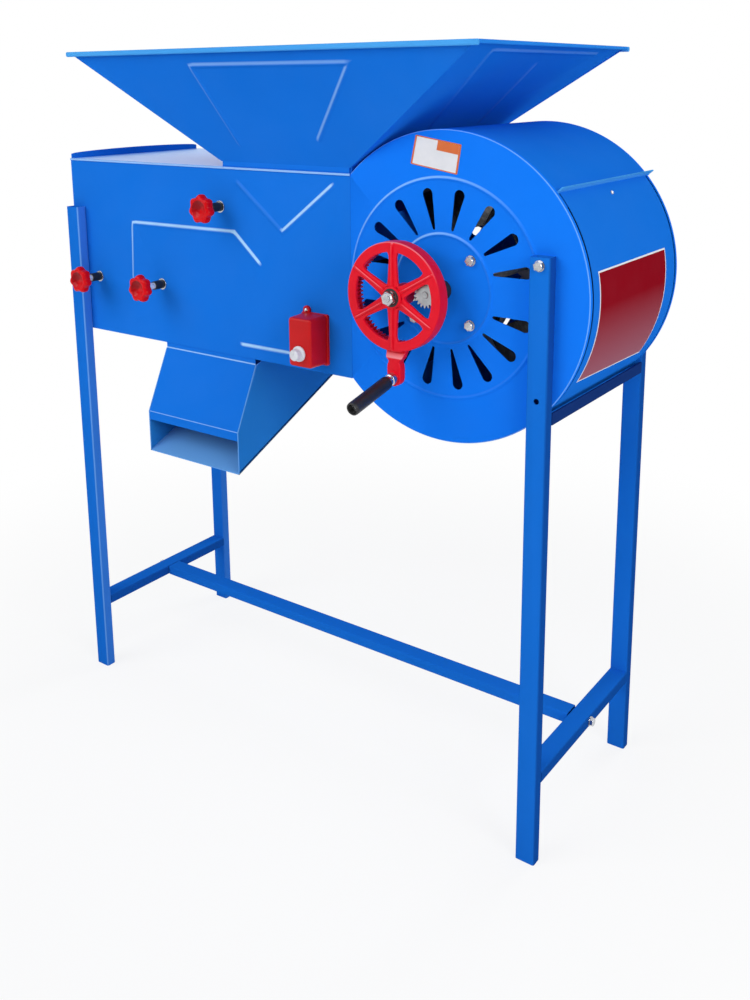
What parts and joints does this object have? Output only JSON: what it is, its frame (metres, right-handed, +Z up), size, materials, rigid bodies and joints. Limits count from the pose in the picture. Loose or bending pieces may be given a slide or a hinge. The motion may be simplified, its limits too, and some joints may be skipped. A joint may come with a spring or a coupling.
{
  "type": "winnowing machine",
  "caption": "Sheet-metal grain winnower: hopper over a wind duct fed by a slotted fan drum, with geared hand crank, motor, flap adjusters and grain chute, on a tube stand.",
  "frame": {"origin": "on the floor, below the middle of the bounding box", "axes": "+Z up; +X from the duct mouth to the fan drum; -Y is the crank side; the fan axis runs along Y"},
  "size_m": [1.0962, 0.6052, 1.264],
  "materials": {
    "blue_paint": "glossy blue stoved paint on sheet steel and tube",
    "bright_blue_paint": "glossy lighter blue stoved paint on the fan discs",
    "red_paint": "glossy red paint on the cast crank wheel",
    "red_plastic": "moulded red plastic",
    "white_plastic": "moulded white plastic",
    "black_plastic": "moulded black plastic",
    "zinc_plate": "bright zinc-plated steel",
    "plain_steel": "plain mild steel",
    "black_iron": "black cast bearing housing",
    "motor_grey": "grey painted cast motor housing"
  },
  "bodies": {
    "frame": {"back_bearing": "black_iron", "bearing_bracket": "plain_steel", "chute_cover": "blue_paint", "chute_trough": "blue_paint", "crank_nut": "zinc_plate", "crank_stud": "zinc_plate", "drum_cradle_angle": "blue_paint", "drum_door": "blue_paint", "drum_shell_lower": "blue_paint", "drum_shell_upper": "blue_paint", "duct_back_sheet": "blue_paint", "duct_floor": "blue_paint", "duct_front_sheet": "blue_paint", "duct_top_sheet": "blue_paint", "fan_back_disc": "bright_blue_paint", "fan_front_disc": "bright_blue_paint", "front_bearing": "black_iron", "funnel_sheet_left": "blue_paint", "funnel_sheet_right": "blue_paint", "hopper_back_wall": "blue_paint", "hopper_front_wall": "blue_paint", "hopper_left_wall": "blue_paint", "hopper_right_wall": "blue_paint", "leg_back_left": "blue_paint", "leg_back_right": "blue_paint", "leg_front_left": "blue_paint", "leg_front_right": "blue_paint", "long_rail": "blue_paint", "low_rail_left": "blue_paint", "low_rail_right": "blue_paint", "middle_sleeve": "black_plastic", "middle_washer": "zinc_plate", "motor_housing": "motor_grey", "switch_base": "red_plastic", "switch_cover": "red_plastic", "tail_sleeve": "black_plastic", "tail_washer": "zinc_plate", "upper_sleeve": "black_plastic", "upper_washer": "zinc_plate"},
    "rotor": {"rotor_shaft": "plain_steel", "rotor_hub_front": "plain_steel", "rotor_hub_back": "plain_steel", "drive_pinion": "zinc_plate", "rotor_blade_1": "zinc_plate", "rotor_blade_2": "zinc_plate", "rotor_blade_3": "zinc_plate", "rotor_blade_4": "zinc_plate", "rotor_blade_5": "zinc_plate", "rotor_blade_6": "zinc_plate"},
    "crank": {"crank_wheel": "red_paint", "handle_bolt": "zinc_plate"},
    "grip": {"handle_grip": "black_plastic"},
    "upper_adjuster": {"upper_flap": "plain_steel", "upper_knob": "red_plastic"},
    "middle_adjuster": {"middle_flap": "plain_steel", "middle_knob": "red_plastic"},
    "tail_adjuster": {"tail_flap": "plain_steel", "tail_knob": "red_plastic"},
    "speed_dial": {"speed_knob": "white_plastic"}
  },
  "joints": [
    {"name": "crank_turn", "type": "hinge", "parent": "frame", "child": "crank", "pos_m": [0.25473, -0.18565, 0.89302], "axis": [0, 1, 0], "continuous": true},
    {"name": "rotor_spin", "type": "hinge", "parent": "frame", "child": "rotor", "pos_m": [0.30813, -0.18565, 0.901], "axis": [0, 1, 0], "continuous": true},
    {"name": "grip_spin", "type": "hinge", "parent": "crank", "child": "grip", "pos_m": [0.25473, -0.19465, 0.76802], "axis": [0, -0.9767, -0.2147], "continuous": true},
    {"name": "upper_flap_turn", "type": "hinge", "parent": "frame", "child": "upper_adjuster", "pos_m": [-0.14783, -0.17065, 0.9985], "axis": [0, 1, 0], "range_deg": [-35, 20]},
    {"name": "middle_flap_turn", "type": "hinge", "parent": "frame", "child": "middle_adjuster", "pos_m": [-0.30283, -0.17065, 0.845], "axis": [0, 1, 0], "range_deg": [-25, 25]},
    {"name": "tail_flap_turn", "type": "hinge", "parent": "frame", "child": "tail_adjuster", "pos_m": [-0.47783, -0.17065, 0.842], "axis": [0, 1, 0], "range_deg": [-35, 30]},
    {"name": "speed_dial_turn", "type": "hinge", "parent": "frame", "child": "speed_dial", "pos_m": [0.06217, -0.19065, 0.775], "axis": [0, 1, 0], "range_deg": [0, 270]}
  ],
  "couplings": [
    {"joint": "crank_turn", "follows": "rotor_spin", "ratio": 0.25}
  ]
}
